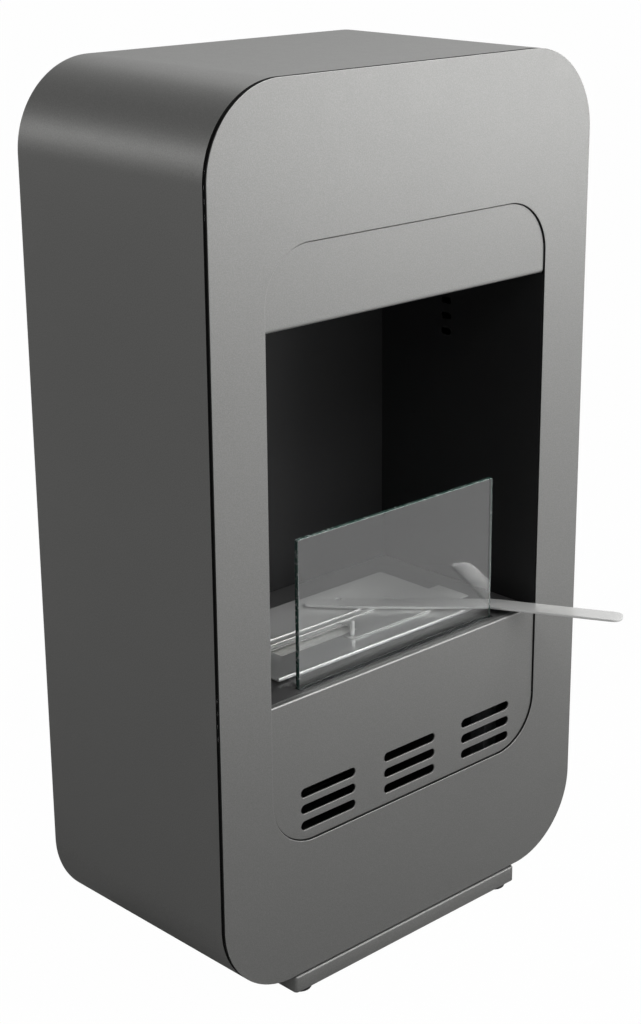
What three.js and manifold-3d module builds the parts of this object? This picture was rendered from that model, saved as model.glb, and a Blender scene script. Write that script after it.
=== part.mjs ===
// A freestanding bioethanol fireplace with a tall rounded sheet-metal cabinet, a fire opening with a
// glass pane, a burner with a sliding lid, and the flat tool that works the lid.
// Millimetres, +Z up. The front faces -Y. The origin is the centre of the overall box, on the floor.
import * as THREE from 'three';
import { mergeVertices } from 'three/addons/utils/BufferGeometryUtils.js';
import Module from 'manifold-3d';

const wasm = await Module();
wasm.setup();

// ---------- driving dimensions ----------
// Cabinet. Inside the cabinet group x is 0 at the middle, y is 0 at the front plate's face, and z is 0
// at the cabinet's underside.
const bodyWidth = 520;
const bodyHeight = 905;
const bodyDepth = 277;
const cornerRadius = 88;
const seat = 0.3; // clearance between a piece and what carries it
const shellWall = 2;
const rearLipWidth = 16;
const rearLipInset = 5;
const frontSheet = 2;
const frontEdgeRound = 0.5;
const reveal = 3.6; // groove between the front plate and the shell
const revealRingDepth = 4;
const revealRingWidth = 6;
const innerSheet = 2;

// Window in the front plate and the two panels set back in it
const windowSideMargin = 65.5; // from the cabinet's side to the window's edge
const windowBottomMargin = 147; // from the cabinet's underside to the window's lower edge
const windowTopMargin = 150.5; // from the window's upper edge to the cabinet's top
const windowRadius = 56;
const panelSheet = 2;
const panelGap = 0.8;
const panelRecess = 2;
const lowerPanelHeight = 158; // from the window's edge to the opening's
const upperPanelHeight = 79;
const upperBendRadius = 4;
const lowerBendRadius = 3;
const upperFlange = 20;
const lowerFlange = 7;

// Air slots in the lower panel
const slotGroups = 3;
const slotRows = 3;
const slotLength = 76;
const slotHeight = 10.1;
const slotGroupPitch = 117.5;
const slotRowPitch = 18;
const slotRise = 35.3; // from the window's lower edge to the middle slots

// Firebox
const fireboxBackGap = 40; // from the firebox's back to the cabinet's
const fireboxHeadroom = 24.5; // from the opening's top to the firebox's
const sideVentY = 139;
const sideVentDrop = 68; // from the opening's top to the middle vent
const sideVentPitch = 17.3;
const sideVentLength = 16;
const sideVentHeight = 7.5;
const sideVentCount = 3;
const sideFlange = 20;
const postSize = 20;
const postWall = 1.5;
const postInset = 36.3; // from the firebox wall's outer face to a post's middle
const postFrontY = 42;
const postBackInset = 21;

// Glass pane and its channel
const glassWidth = 282;
const glassThickness = 5;
const glassFrontY = 18.5;
const glassHeight = 156; // above the lower edge of the opening
const glassSlotFrontY = 14.5;
const channelWall = 1.3;
const channelDepth = 15;

// Burner
const burnerOverhang = 20; // the top past the tray, left and right
const burnerLipDepth = 9; // the top past the tray, front and back
const burnerSheet = 1.5;
const burnerBeadRadius = 1.8;
const trayWidth = 252;
const trayFrontY = 52;
const trayBackY = 185;
const trayDepth = 57;
const traySheet = 1.2;
const trayFlange = 7;
const tankGap = 1.8;
const tankWall = 1.5;
const fibreDrop = 3.5; // from the tank's rim down to the top of the fibre
const flameSlotLeft = -101.5;
const flameSlotLength = 146.5;
const flameSlotFrontY = 87;
const flameSlotWidth = 20;
const flameSlotRadius = 3;
const guideFrontY = 112.4;
const guideWidth = 13;
const guideLength = 262;
const guideGroove = 3.6;
const guideCover = 0.8;
const rivetRadius = 1.5;
const rivetX = 122;

// Lid that slides along the flame slot, shown about two thirds open
const lidSheet = 1;
const lidOverlap = 5;
const lidFrontY = 78;
const lidOpen = 110;
const lidEarLength = 24;
const lidEarWidth = 16;
const pinRadius = 3;
const pinHeight = 16.5;
const pinShankRadius = 2;

// Loose tool that lies across the burner, its handle out past the glass. The handle turns a little at
// the neck and widens into the blade. Lengths are from the handle's end, sideways to the left is +.
const toolSheet = 2.5;
const toolWidth = 24;
const toolEndX = 222;
const toolEndY = -98.6;
const toolTurn = 118.4; // degrees from +X to the handle's direction
const toolNeck = [147, 152]; // where the left and right edges turn
const toolBlade = [ // corners after the neck: along, sideways, radius
  [189, -1.6, 25], [288.2, -59.8, 20], [347.5, 63.5, 10], [288.5, 53.6, 40],
];
const toolHole = [309.3, 35.7];
const toolHoleRadius = 4;
const toolSlot = [255.8, 18.6];
const toolSlotLength = 14;
const toolSlotWidth = 4;

// Plinth and feet
const plinthSideInset = 92;
const plinthBackInset = 13;
const plinthHeight = 18;
const plinthProud = 1;
const plinthSheet = 2;
const plinthRound = 1.8;
const plinthGap = 2;
const footHeight = 5;
const footRadius = 13;
const footSideInset = 18; // from the plinth's side to a foot's middle
const footFrontY = 14;
const footBackInset = 17;
const stemRadius = 4;
const nutHeight = 6;
const nutAcross = 13;

// Back panel
const backSlotCount = 4;
const backSlotLength = 90;
const backSlotHeight = 6;
const backSlotPitch = 16;
const backSlotColumns = 2;
const backSlotColumnPitch = 120;
const backScrewRadius = 2;
const screwHeadRadius = 4;
const screwHeadHeight = 2.2;

const roundSteps = 24; // sides of a round piece
const cornerSteps = 12; // curve steps in large corners

// ---------- sizes that follow ----------
const halfBody = bodyWidth / 2;
const halfWindow = halfBody - windowSideMargin;
const windowBottom = windowBottomMargin;
const windowTop = bodyHeight - windowTopMargin;
const openingBottom = windowBottom + lowerPanelHeight;
const openingTop = windowTop - upperPanelHeight;
const slotMiddleZ = windowBottom + slotRise;
const shellFrontY = frontSheet + reveal;
const fireboxBackY = bodyDepth - fireboxBackGap;
const fireboxTop = openingTop + fireboxHeadroom;
const sideVentZ = openingTop - sideVentDrop;
const glassTop = openingBottom + glassHeight;
const burnerWidth = trayWidth + 2 * burnerOverhang;
const burnerFrontY = trayFrontY - burnerLipDepth;
const burnerBackY = trayBackY + burnerLipDepth;
const plinthWidth = bodyWidth - 2 * plinthSideInset;
const plinthDepth = bodyDepth - plinthBackInset;
const footX = plinthWidth / 2 - footSideInset;
const footBackY = plinthDepth - plinthProud - footBackInset;
const hearthTop = openingBottom - seat;
const hearthBottom = hearthTop - innerSheet;
const hearthFrontY = panelRecess + lowerFlange + seat;
const wallInner = halfWindow - panelGap / 2;
const wallOuter = wallInner + innerSheet;
const postX = wallOuter - postInset;
const postBackY = fireboxBackY - postBackInset;
const fireboxBottom = hearthTop + seat;
const cabinetZ = footHeight + plinthHeight + plinthGap;
const burnerTopZ = hearthTop + seat + traySheet + seat + burnerSheet;
const lidBottomZ = burnerTopZ + seat;
const guideTopZ = lidBottomZ + lidSheet + seat + guideCover;
const toolBottomZ = guideTopZ + seat;
const trayBottomZ = hearthTop + seat - trayDepth;
const tankBottomZ = trayBottomZ + traySheet + seat;
const tankTopZ = burnerTopZ - burnerSheet - 1;
const backPanelY = bodyDepth - rearLipInset + seat;

// ---------- materials ----------
function finish(color, roughness, metalness) {
  return new THREE.MeshStandardMaterial({ color, roughness, metalness });
}
const graphite = finish(0x77776f, 0.45, 0.6);
const shellGraphite = finish(0x5b5b57, 0.5, 0.6);
const black = finish(0x15171a, 0.7, 0.2);
const darkSteel = finish(0x3c3d3d, 0.5, 0.7);
const zinc = finish(0x8f9296, 0.4, 0.9);
const polished = finish(0xb8b8b4, 0.2, 1.0);
const fibre = finish(0xecebe6, 0.95, 0.0);
const rubber = finish(0x1a1a1a, 0.9, 0.0);
const glass = new THREE.MeshStandardMaterial({
  color: 0xbfcac6, roughness: 0.05, metalness: 0, transparent: true, opacity: 0.35,
});

// ---------- solids ----------
function solid(geometry) {
  const bare = geometry.clone();
  for (const name of Object.keys(bare.attributes)) {
    if (name !== 'position') bare.deleteAttribute(name);
  }
  const merged = mergeVertices(bare, 1e-4);
  return new wasm.Manifold(new wasm.Mesh({
    numProp: 3,
    vertProperties: new Float32Array(merged.attributes.position.array),
    triVerts: new Uint32Array(merged.index.array),
  }));
}

function geometryOf(manifold) {
  const mesh = manifold.getMesh();
  const geometry = new THREE.BufferGeometry();
  geometry.setAttribute('position', new THREE.BufferAttribute(mesh.vertProperties, 3));
  geometry.setIndex(new THREE.BufferAttribute(mesh.triVerts, 1));
  geometry.computeVertexNormals();
  return geometry;
}

function cut(base, ...tools) {
  return geometryOf(tools.reduce((left, tool) => left.subtract(solid(tool)), solid(base)));
}

function join(first, ...others) {
  return geometryOf(others.reduce((sum, other) => sum.add(solid(other)), solid(first)));
}

function box(x0, x1, y0, y1, z0, z1) {
  const geometry = new THREE.BoxGeometry(x1 - x0, y1 - y0, z1 - z0);
  return geometry.translate((x0 + x1) / 2, (y0 + y1) / 2, (z0 + z1) / 2);
}

// A rectangle with its own radius at each corner: bottom left, bottom right, top right, top left.
function roundedOutline(x0, x1, z0, z1, bl, br, tr, tl, path = new THREE.Shape()) {
  path.moveTo(x0 + bl, z0);
  path.lineTo(x1 - br, z0);
  if (br > 0) path.absarc(x1 - br, z0 + br, br, -Math.PI / 2, 0, false);
  path.lineTo(x1, z1 - tr);
  if (tr > 0) path.absarc(x1 - tr, z1 - tr, tr, 0, Math.PI / 2, false);
  path.lineTo(x0 + tl, z1);
  if (tl > 0) path.absarc(x0 + tl, z1 - tl, tl, Math.PI / 2, Math.PI, false);
  path.lineTo(x0, z0 + bl);
  if (bl > 0) path.absarc(x0 + bl, z0 + bl, bl, Math.PI, Math.PI * 1.5, false);
  return path;
}

// The cabinet's outline, drawn in by the same distance all round.
function cabinetOutline(inset, path) {
  const r = cornerRadius - inset;
  return roundedOutline(-halfBody + inset, halfBody - inset, inset, bodyHeight - inset, r, r, r, r, path);
}

// Extrudes an outline drawn in x and z from y0 to y1.
function alongY(shape, y0, y1, options = {}) {
  const depth = y1 - y0;
  const geometry = new THREE.ExtrudeGeometry(shape, {
    depth, bevelEnabled: false, curveSegments: cornerSteps, ...options,
  });
  return geometry.rotateX(Math.PI / 2).translate(0, y1, 0);
}

// Extrudes an outline drawn in y and z from x0 to x1.
function alongX(shape, x0, x1) {
  const geometry = new THREE.ExtrudeGeometry(shape, {
    depth: x1 - x0, bevelEnabled: false, curveSegments: 4,
  });
  const turn = new THREE.Matrix4().set(0, 0, 1, x0, 1, 0, 0, 0, 0, 1, 0, 0, 0, 0, 0, 1);
  return geometry.applyMatrix4(turn);
}

// Extrudes an outline drawn in x and y from z0 to z1.
function alongZ(shape, z0, z1, curveSegments = 4) {
  const geometry = new THREE.ExtrudeGeometry(shape, { depth: z1 - z0, bevelEnabled: false, curveSegments });
  return geometry.translate(0, 0, z0);
}

// A slot with full round ends, long in its first direction.
function obround(middleA, middleB, length, height, path = new THREE.Shape()) {
  const r = height / 2;
  const reach = length / 2 - r;
  path.moveTo(middleA - reach, middleB - r);
  path.lineTo(middleA + reach, middleB - r);
  path.absarc(middleA + reach, middleB, r, -Math.PI / 2, Math.PI / 2, false);
  path.lineTo(middleA - reach, middleB + r);
  path.absarc(middleA - reach, middleB, r, Math.PI / 2, Math.PI * 1.5, false);
  return path;
}

function cylinderZ(x, y, z0, z1, radius, sides = roundSteps) {
  const geometry = new THREE.CylinderGeometry(radius, radius, z1 - z0, sides);
  return geometry.rotateX(Math.PI / 2).translate(x, y, (z0 + z1) / 2);
}

// A hole for a foot's stem, from just below z 0.
function stemHole(x, y, z1) {
  return cylinderZ(x, y, -1, z1, stemRadius + seat, 16);
}

function cylinderX(x0, x1, y, z, radius, sides = 16) {
  const geometry = new THREE.CylinderGeometry(radius, radius, x1 - x0, sides);
  return geometry.rotateZ(Math.PI / 2).translate((x0 + x1) / 2, y, z);
}

function cylinderY(x, z, y0, y1, radius, sides = 16) {
  return new THREE.CylinderGeometry(radius, radius, y1 - y0, sides).translate(x, (y0 + y1) / 2, z);
}

// A turned piece from [radius, height] points that start and end on the axis, bottom first.
function turned(points, sides = roundSteps) {
  const profile = points.map(([radius, height]) => new THREE.Vector2(radius, height));
  return new THREE.LatheGeometry(profile, sides).rotateX(Math.PI / 2);
}

// ---------- assembly tree ----------
const fireplace = new THREE.Group();
const cabinet = new THREE.Group();
cabinet.position.z = cabinetZ;
fireplace.add(cabinet);

function add(name, geometry, material, parent = cabinet) {
  const mesh = new THREE.Mesh(geometry, material);
  mesh.name = name;
  parent.add(mesh);
  return mesh;
}

const footSpots = [
  ['front_left', -footX, footFrontY],
  ['front_right', footX, footFrontY],
  ['rear_left', -footX, footBackY],
  ['rear_right', footX, footBackY],
];

// ---------- cabinet shell ----------
const backScrewInset = rearLipWidth / 2 + shellWall;
const backScrewSpots = [];
for (const side of [-1, 1]) {
  const x = side * (halfBody - backScrewInset);
  for (const z of [bodyHeight * 0.2, bodyHeight * 0.5, bodyHeight * 0.8]) backScrewSpots.push([x, z]);
  backScrewSpots.push([side * bodyWidth * 0.2, bodyHeight - backScrewInset]);
}

function shellGeometry() {
  const tube = cabinetOutline(0);
  tube.holes.push(cabinetOutline(shellWall, new THREE.Path()));
  const lip = cabinetOutline(shellWall / 2);
  lip.holes.push(cabinetOutline(shellWall + rearLipWidth, new THREE.Path()));
  const lipY = bodyDepth - rearLipInset;
  const body = join(alongY(tube, shellFrontY, bodyDepth), alongY(lip, lipY - shellWall, lipY));
  const screwHoles = backScrewSpots.map(([x, z]) => (
    cylinderY(x, z, lipY - shellWall - 1, lipY + 1, backScrewRadius + seat, 12)
  ));
  const stemHoles = footSpots.map(([, x, y]) => stemHole(x, y, shellWall + 1));
  return cut(body, ...screwHoles, ...stemHoles);
}
add('cabinet_shell', shellGeometry(), shellGraphite);

function frontPlateGeometry() {
  const plate = cabinetOutline(0);
  const r = windowRadius;
  plate.holes.push(roundedOutline(
    -halfWindow, halfWindow, windowBottom, windowTop, r, r, r, r, new THREE.Path(),
  ));
  const rounding = {
    bevelEnabled: true, bevelThickness: frontEdgeRound, bevelSize: frontEdgeRound,
    bevelOffset: -frontEdgeRound, bevelSegments: 2,
  };
  return alongY(plate, frontEdgeRound, frontSheet - frontEdgeRound, rounding);
}
add('front_plate', frontPlateGeometry(), graphite);

// The ring joins the plate to the shell and is the dark floor of the groove between them.
function revealRingGeometry() {
  const ring = cabinetOutline(shellWall + seat);
  ring.holes.push(cabinetOutline(shellWall + seat + revealRingWidth, new THREE.Path()));
  return alongY(ring, frontSheet + seat, frontSheet + seat + revealRingDepth);
}
add('reveal_ring', revealRingGeometry(), black);

// ---------- inset panels ----------
// Cross-section of a sheet that runs up (or down, flip -1) from a bend and back along a flange.
// The bend's outer corner is at (y0, z0).
function bentSheet(y0, z0, radius, rise, flange, flip) {
  const inner = radius - panelSheet;
  const shape = new THREE.Shape();
  const middleY = y0 + radius;
  const middleZ = z0 + flip * radius;
  const quarter = (Math.PI / 2) * flip;
  shape.moveTo(y0, z0 + flip * rise);
  shape.lineTo(y0, middleZ);
  shape.absarc(middleY, middleZ, radius, Math.PI, Math.PI + quarter, flip < 0);
  shape.lineTo(y0 + flange, z0);
  shape.lineTo(y0 + flange, z0 + flip * panelSheet);
  shape.lineTo(middleY, z0 + flip * panelSheet);
  shape.absarc(middleY, middleZ, inner, Math.PI + quarter, Math.PI, flip > 0);
  shape.lineTo(y0 + panelSheet, z0 + flip * rise);
  return shape;
}

const panelHalf = halfWindow - panelGap;
const panelRadius = windowRadius - panelGap;
const bendRise = 10;

function upperPanelGeometry() {
  const face = roundedOutline(
    -panelHalf, panelHalf, openingTop + bendRise - 1, windowTop - panelGap, 0, 0, panelRadius, panelRadius,
  );
  const bend = bentSheet(panelRecess, openingTop, upperBendRadius, bendRise, upperFlange, 1);
  return join(
    alongY(face, panelRecess, panelRecess + panelSheet),
    alongX(bend, -panelHalf, panelHalf),
  );
}
add('upper_panel', upperPanelGeometry(), graphite);

function lowerPanelGeometry() {
  const face = roundedOutline(
    -panelHalf, panelHalf, windowBottom + panelGap, openingBottom - bendRise + 1,
    panelRadius, panelRadius, 0, 0,
  );
  for (let column = 0; column < slotGroups; column += 1) {
    const x = (column - (slotGroups - 1) / 2) * slotGroupPitch;
    for (let row = 0; row < slotRows; row += 1) {
      const z = slotMiddleZ + (row - (slotRows - 1) / 2) * slotRowPitch;
      face.holes.push(obround(x, z, slotLength, slotHeight, new THREE.Path()));
    }
  }
  const bend = bentSheet(panelRecess, openingBottom, lowerBendRadius, bendRise, lowerFlange, -1);
  return join(
    alongY(face, panelRecess, panelRecess + panelSheet),
    alongX(bend, -panelHalf, panelHalf),
  );
}
add('lower_panel', lowerPanelGeometry(), graphite);

// Rebated rails behind the window's edges. Each holds one end of a panel to the front plate.
const railInner = panelHalf - 14;
const railOuter = halfWindow + 22;
const railThickness = 3.4;
function panelRailGeometry(side, z0, z1) {
  const xs = [side * railInner, side * railOuter].sort((a, b) => a - b);
  const y0 = frontSheet + seat;
  const rail = box(xs[0], xs[1], y0, y0 + railThickness, z0, z1);
  const rebateOuter = side * (halfWindow + 1);
  const rebate = [side * (railInner - 1), rebateOuter].sort((a, b) => a - b);
  return cut(rail, box(rebate[0], rebate[1], y0 - 1, panelRecess + panelSheet + seat, z0 - 1, z1 + 1));
}
for (const [word, side] of [['left', -1], ['right', 1]]) {
  const low = windowBottom + windowRadius;
  add(`lower_panel_rail_${word}`, panelRailGeometry(side, low, openingBottom - bendRise), black);
  add(`upper_panel_rail_${word}`, panelRailGeometry(side, fireboxTop + 6, windowTop - 10), black);
}

// ---------- firebox ----------
function hearthGeometry() {
  const slab = box(-wallOuter, wallOuter, hearthFrontY, fireboxBackY + innerSheet, hearthBottom, hearthTop);
  const halfTray = trayWidth / 2 + 1;
  const burnerHole = box(
    -halfTray, halfTray, trayFrontY - 1, trayBackY + 1, hearthBottom - 1, hearthTop + 1,
  );
  const halfGlass = glassWidth / 2 + 1;
  const glassSlotBackY = glassFrontY + glassThickness + 1;
  const glassHole = box(
    -halfGlass, halfGlass, glassSlotFrontY, glassSlotBackY, hearthBottom - 1, hearthTop + 1,
  );
  return cut(slab, burnerHole, glassHole);
}
add('hearth_plate', hearthGeometry(), darkSteel);

function sideWallGeometry(side) {
  const x0 = Math.min(side * wallInner, side * wallOuter);
  const x1 = Math.max(side * wallInner, side * wallOuter);
  const railBackY = frontSheet + seat + railThickness + seat;
  const wall = box(x0, x1, railBackY, fireboxBackY - seat, fireboxBottom, fireboxTop);
  const frontY = frontSheet + seat;
  const z0 = openingBottom + 2;
  const z1 = openingTop - 1.5;
  const nose = box(x0, x1, frontY, railBackY + 1, z0, z1);
  const flangeX = [side * wallInner, side * (wallInner + sideFlange)].sort((a, b) => a - b);
  const flange = box(flangeX[0], flangeX[1], frontY, frontY + innerSheet, z0, z1);
  const vents = [];
  for (let row = 0; row < sideVentCount; row += 1) {
    const z = sideVentZ + (row - (sideVentCount - 1) / 2) * sideVentPitch;
    vents.push(alongX(obround(sideVentY, z, sideVentLength, sideVentHeight), x0 - 1, x1 + 1));
  }
  return cut(join(wall, nose, flange), ...vents);
}
add('firebox_wall_left', sideWallGeometry(-1), black);
add('firebox_wall_right', sideWallGeometry(1), black);
add('firebox_back', box(
  -wallOuter, wallOuter, fireboxBackY, fireboxBackY + innerSheet, fireboxBottom, fireboxTop,
), black);
add('firebox_ceiling', box(
  -wallOuter, wallOuter, panelRecess + upperFlange + 2, fireboxBackY + innerSheet,
  fireboxTop + seat, fireboxTop + seat + innerSheet,
), black);

// Square posts carry the hearth on the shell's floor.
function postGeometry() {
  const half = postSize / 2;
  const bore = half - postWall;
  const height = hearthBottom - seat - (shellWall + seat);
  return cut(box(-half, half, -half, half, 0, height), box(-bore, bore, -bore, bore, -1, height + 1));
}
for (const [word, x, y] of [
  ['front_left', -postX, postFrontY], ['front_right', postX, postFrontY],
  ['rear_left', -postX, postBackY], ['rear_right', postX, postBackY],
]) {
  add(`hearth_post_${word}`, postGeometry(), zinc).position.set(x, y, shellWall + seat);
}

// Z-shaped stays tie the firebox to the back panel.
const stayHeight = 24;
const stayLength = 80;
function stayGeometry() {
  const y0 = fireboxBackY + innerSheet + seat;
  const y1 = backPanelY - seat;
  const half = stayLength / 2;
  return join(
    box(-half, half, y0, y0 + innerSheet, 0, stayHeight),
    box(-half, half, y0, y1, stayHeight - innerSheet, stayHeight),
    box(-half, half, y1 - innerSheet, y1, stayHeight - innerSheet, stayHeight * 2),
  );
}
add('rear_stay_lower', stayGeometry(), zinc).position.z = openingBottom + 40;
add('rear_stay_upper', stayGeometry(), zinc).position.z = openingTop - 60;

// ---------- glass ----------
const glassBottom = hearthBottom - seat - channelDepth + channelWall + seat;
function glassChannelGeometry() {
  const half = glassWidth / 2 + 2;
  const y0 = glassFrontY - seat - channelWall;
  const y1 = glassFrontY + glassThickness + seat + channelWall;
  const top = hearthBottom - seat;
  const block = box(-half, half, y0, y1, top - channelDepth, top);
  return cut(block, box(
    -half - 1, half + 1, y0 + channelWall, y1 - channelWall, top - channelDepth + channelWall, top + 1,
  ));
}
add('glass_channel', glassChannelGeometry(), zinc);

function glassGeometry() {
  const half = glassWidth / 2;
  const ease = 0.5; // ground edges
  const outline = roundedOutline(
    -half + ease, half - ease, glassBottom + ease, glassTop - ease, 2, 2, 2, 2,
  );
  const rounding = {
    bevelEnabled: true, bevelThickness: ease, bevelSize: ease, bevelSegments: 1, curveSegments: 2,
  };
  return alongY(outline, glassFrontY + ease, glassFrontY + glassThickness - ease, rounding);
}
add('glass_pane', glassGeometry(), glass);

// ---------- burner ----------
function trayGeometry() {
  const half = trayWidth / 2;
  const top = hearthTop + seat + traySheet;
  const flangeX = half + trayFlange;
  const body = join(
    box(-half, half, trayFrontY, trayBackY, trayBottomZ, top),
    box(-flangeX, flangeX, trayFrontY - trayFlange, trayBackY + trayFlange, top - traySheet, top),
  );
  return cut(body, box(
    -half + traySheet, half - traySheet, trayFrontY + traySheet, trayBackY - traySheet,
    trayBottomZ + traySheet, top + 1,
  ));
}
add('burner_tray', trayGeometry(), zinc);

const tankHalf = trayWidth / 2 - traySheet - tankGap;
const tankFrontY = trayFrontY + traySheet + tankGap;
const tankBackY = trayBackY - traySheet - tankGap;
function tankGeometry() {
  return cut(
    box(-tankHalf, tankHalf, tankFrontY, tankBackY, tankBottomZ, tankTopZ),
    box(
      -tankHalf + tankWall, tankHalf - tankWall, tankFrontY + tankWall, tankBackY - tankWall,
      tankBottomZ + tankWall, tankTopZ + 1,
    ),
  );
}
add('fuel_tank', tankGeometry(), polished);
const fibreHalf = tankHalf - tankWall - seat;
add('ceramic_fibre', box(
  -fibreHalf, fibreHalf, tankFrontY + tankWall + seat, tankBackY - tankWall - seat,
  tankBottomZ + tankWall + seat, tankTopZ - fibreDrop,
), fibre);

const rivetSpots = [-rivetX, rivetX].map((x) => [x, guideFrontY + guideWidth * 0.65]);

function rivetHoles(z0, z1) {
  return rivetSpots.map(([x, y]) => cylinderZ(x, y, z0, z1, rivetRadius + seat, 12));
}

function burnerTopGeometry() {
  const half = burnerWidth / 2;
  const z0 = burnerTopZ - burnerSheet;
  const plate = join(
    alongZ(roundedOutline(-half, half, burnerFrontY, burnerBackY, 3, 3, 3, 3), z0, burnerTopZ, 3),
    cylinderX(
      -half + 0.6, half - 0.6, burnerFrontY + burnerBeadRadius, burnerTopZ + 0.1, burnerBeadRadius, 16,
    ),
  );
  const r = flameSlotRadius;
  const right = flameSlotLeft + flameSlotLength;
  const slot = alongZ(
    roundedOutline(flameSlotLeft, right, flameSlotFrontY, flameSlotFrontY + flameSlotWidth, r, r, r, r),
    z0 - 1, burnerTopZ + 1, 3,
  );
  return cut(plate, slot, ...rivetHoles(z0 - 1, burnerTopZ + 1));
}
add('burner_top', burnerTopGeometry(), polished);

// The strip holds the lid's rear edge down. A groove in its front takes that edge.
function guideStripGeometry() {
  const half = guideLength / 2;
  const y1 = guideFrontY + guideWidth;
  const z0 = burnerTopZ + seat;
  const strip = alongX(roundedOutline(guideFrontY, y1, z0, guideTopZ, 0, 0, 0.7, 0.7), -half, half);
  const grooveBackY = guideFrontY + guideGroove;
  const groove = box(-half - 1, half + 1, guideFrontY - 1, grooveBackY, z0 - 1, guideTopZ - guideCover);
  return cut(strip, groove, ...rivetHoles(z0 - 1, guideTopZ + 1));
}
add('guide_strip', guideStripGeometry(), polished);
for (const [word, spot] of [['left', rivetSpots[0]], ['right', rivetSpots[1]]]) {
  const rivet = cylinderZ(...spot, burnerTopZ - burnerSheet, guideTopZ, rivetRadius, 12);
  add(`guide_rivet_${word}`, rivet, zinc);
}

// ---------- lid ----------
const lidLeft = flameSlotLeft - lidOverlap + lidOpen;
const lidRight = lidLeft + flameSlotLength + lidOverlap * 2;
const pinX = lidLeft - lidEarLength + lidEarWidth / 2;
const pinY = lidFrontY;
function lidGeometry() {
  const z1 = lidBottomZ + lidSheet;
  const rearY = guideFrontY + guideGroove - seat;
  const earHalf = lidEarWidth / 2;
  const outline = new THREE.Shape();
  outline.moveTo(pinX, pinY - earHalf);
  outline.lineTo(lidRight - 2, pinY - earHalf);
  outline.absarc(lidRight - 2, pinY - earHalf + 2, 2, -Math.PI / 2, 0, false);
  outline.lineTo(lidRight, rearY);
  outline.lineTo(lidLeft, rearY);
  outline.lineTo(lidLeft, pinY + earHalf);
  outline.lineTo(pinX, pinY + earHalf);
  outline.absarc(pinX, pinY, earHalf, Math.PI / 2, Math.PI * 1.5, false);
  outline.holes.push(new THREE.Path().absarc(pinX, pinY, pinShankRadius + seat, 0, Math.PI * 2, true));
  return alongZ(outline, lidBottomZ, z1, 6);
}
add('burner_lid', lidGeometry(), polished);

const pinSole = lidSheet + seat;
add('lid_pin', turned([
  [0, 0], [pinShankRadius, 0], [pinShankRadius, pinSole], [pinRadius, pinSole],
  [pinRadius, pinSole + pinHeight - 1], [pinRadius - 1, pinSole + pinHeight], [0, pinSole + pinHeight],
], 16), polished).position.set(pinX, pinY, lidBottomZ);

// ---------- tool ----------
// A polygon whose corners [x, y, radius] are rounded off between their points of touch.
function roundedPolygon(corners) {
  const shape = new THREE.Shape();
  corners.forEach(([x, y, radius], index) => {
    const here = new THREE.Vector2(x, y);
    const before = new THREE.Vector2(...corners.at(index - 1)).sub(here).normalize();
    const after = new THREE.Vector2(...corners[(index + 1) % corners.length]).sub(here).normalize();
    const reach = radius / Math.tan(Math.acos(before.dot(after)) / 2);
    const start = here.clone().addScaledVector(before, reach);
    const end = here.clone().addScaledVector(after, reach);
    if (index === 0) shape.moveTo(start.x, start.y);
    else shape.lineTo(start.x, start.y);
    shape.quadraticCurveTo(x, y, end.x, end.y);
  });
  shape.closePath();
  return shape;
}

function toolGeometry() {
  const half = toolWidth / 2;
  const outline = roundedPolygon([
    [0, -half, half - 1], [toolNeck[1], -half, 30], ...toolBlade, [toolNeck[0], half, 15], [0, half, half - 1],
  ]);
  outline.holes.push(new THREE.Path().absarc(...toolHole, toolHoleRadius, 0, Math.PI * 2, true));
  outline.holes.push(obround(...toolSlot, toolSlotLength, toolSlotWidth, new THREE.Path()));
  return alongZ(outline, 0, toolSheet, 8);
}
const tool = add('lid_tool', toolGeometry(), polished);
tool.position.set(toolEndX, toolEndY, toolBottomZ);
tool.rotation.z = THREE.MathUtils.degToRad(toolTurn);

// ---------- back panel ----------
function backPanelGeometry() {
  const outline = cabinetOutline(shellWall + seat);
  for (const middleZ of [bodyHeight * 0.17, bodyHeight * 0.83]) {
    for (let column = 0; column < backSlotColumns; column += 1) {
      const x = (column - (backSlotColumns - 1) / 2) * backSlotColumnPitch;
      for (let row = 0; row < backSlotCount; row += 1) {
        const z = middleZ + (row - (backSlotCount - 1) / 2) * backSlotPitch;
        outline.holes.push(obround(x, z, backSlotLength, backSlotHeight, new THREE.Path()));
      }
    }
  }
  for (const [x, z] of backScrewSpots) {
    outline.holes.push(new THREE.Path().absarc(x, z, backScrewRadius + seat, 0, Math.PI * 2, true));
  }
  return alongY(outline, backPanelY, backPanelY + innerSheet, { curveSegments: 4 });
}
add('back_panel', backPanelGeometry(), shellGraphite);

const shankLength = innerSheet + shellWall + 3;
function screwGeometry() {
  return turned([
    [0, 0], [backScrewRadius, 0], [backScrewRadius, shankLength], [screwHeadRadius, shankLength],
    [screwHeadRadius, shankLength + screwHeadHeight * 0.6],
    [screwHeadRadius * 0.6, shankLength + screwHeadHeight], [0, shankLength + screwHeadHeight],
  ], 12).rotateX(-Math.PI / 2);
}
backScrewSpots.forEach(([x, z], index) => {
  const y = backPanelY + innerSheet + seat - shankLength;
  add(`back_screw_${index + 1}`, screwGeometry(), zinc).position.set(x, y, z);
});

// ---------- plinth and feet ----------
const plinth = new THREE.Group();
plinth.position.z = footHeight;
fireplace.add(plinth);

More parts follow.
